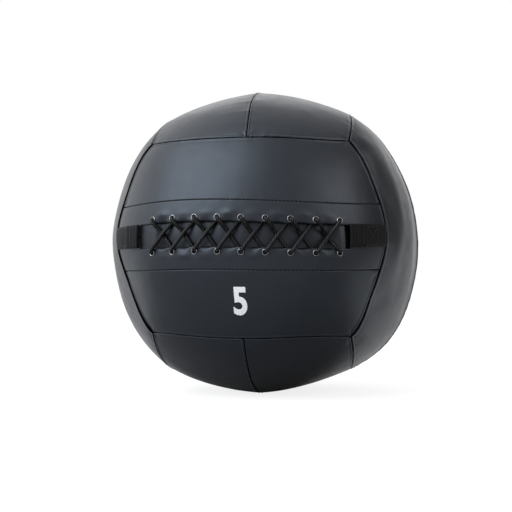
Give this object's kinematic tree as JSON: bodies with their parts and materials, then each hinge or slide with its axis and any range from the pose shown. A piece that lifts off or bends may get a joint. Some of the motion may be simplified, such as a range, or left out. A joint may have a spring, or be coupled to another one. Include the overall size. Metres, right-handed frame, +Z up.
{
  "type": "wall ball",
  "caption": "Soft weighted ball with a sewn panel cover in black artificial leather, a laced opening across the front and webbing tabs at its ends.",
  "frame": {"origin": "on the floor under the ball's centre, in the middle of the flat where it rests", "axes": "+Z up, front face with the lacing towards -Y, +X to the right as seen from the front"},
  "size_m": [0.3394, 0.3442, 0.338],
  "materials": {
    "cover": "black artificial leather with a fine grain and a cool satin sheen",
    "placket": "the cover's black artificial leather, puckered along the lacing",
    "tongue": "thinner dull black artificial leather",
    "eyelets": "nickel-plated, bright",
    "lace": "black round braid, matt",
    "webbing": "black woven webbing, matt",
    "foam": "pale soft foam sheet",
    "stuffing": "grey-white shredded textile",
    "canvas": "plain canvas"
  },
  "bodies": {
    "root": {"panel_front_upper": "cover", "panel_front_lower": "cover", "panel_back_upper": "cover", "panel_back_lower": "cover", "panel_right_front": "cover", "panel_right_back": "cover", "panel_left_front": "cover", "panel_left_back": "cover", "panel_top_right": "cover", "panel_top_left": "cover", "panel_bottom_right": "cover", "panel_bottom_left": "cover", "placket_upper": "placket", "placket_lower": "placket", "eyelet_upper_1": "eyelets", "eyelet_upper_2": "eyelets", "eyelet_upper_3": "eyelets", "eyelet_upper_4": "eyelets", "eyelet_upper_5": "eyelets", "eyelet_upper_6": "eyelets", "eyelet_upper_7": "eyelets", "eyelet_upper_8": "eyelets", "eyelet_upper_9": "eyelets", "eyelet_lower_1": "eyelets", "eyelet_lower_2": "eyelets", "eyelet_lower_3": "eyelets", "eyelet_lower_4": "eyelets", "eyelet_lower_5": "eyelets", "eyelet_lower_6": "eyelets", "eyelet_lower_7": "eyelets", "eyelet_lower_8": "eyelets", "eyelet_lower_9": "eyelets", "lace": "lace", "tongue": "tongue", "webbing_tab_left": "webbing", "webbing_tab_right": "webbing", "foam_wrap_upper": "foam", "foam_wrap_lower": "foam", "stuffing_upper": "stuffing", "stuffing_lower": "stuffing", "core_bag": "canvas"}
  },
  "joints": []
}
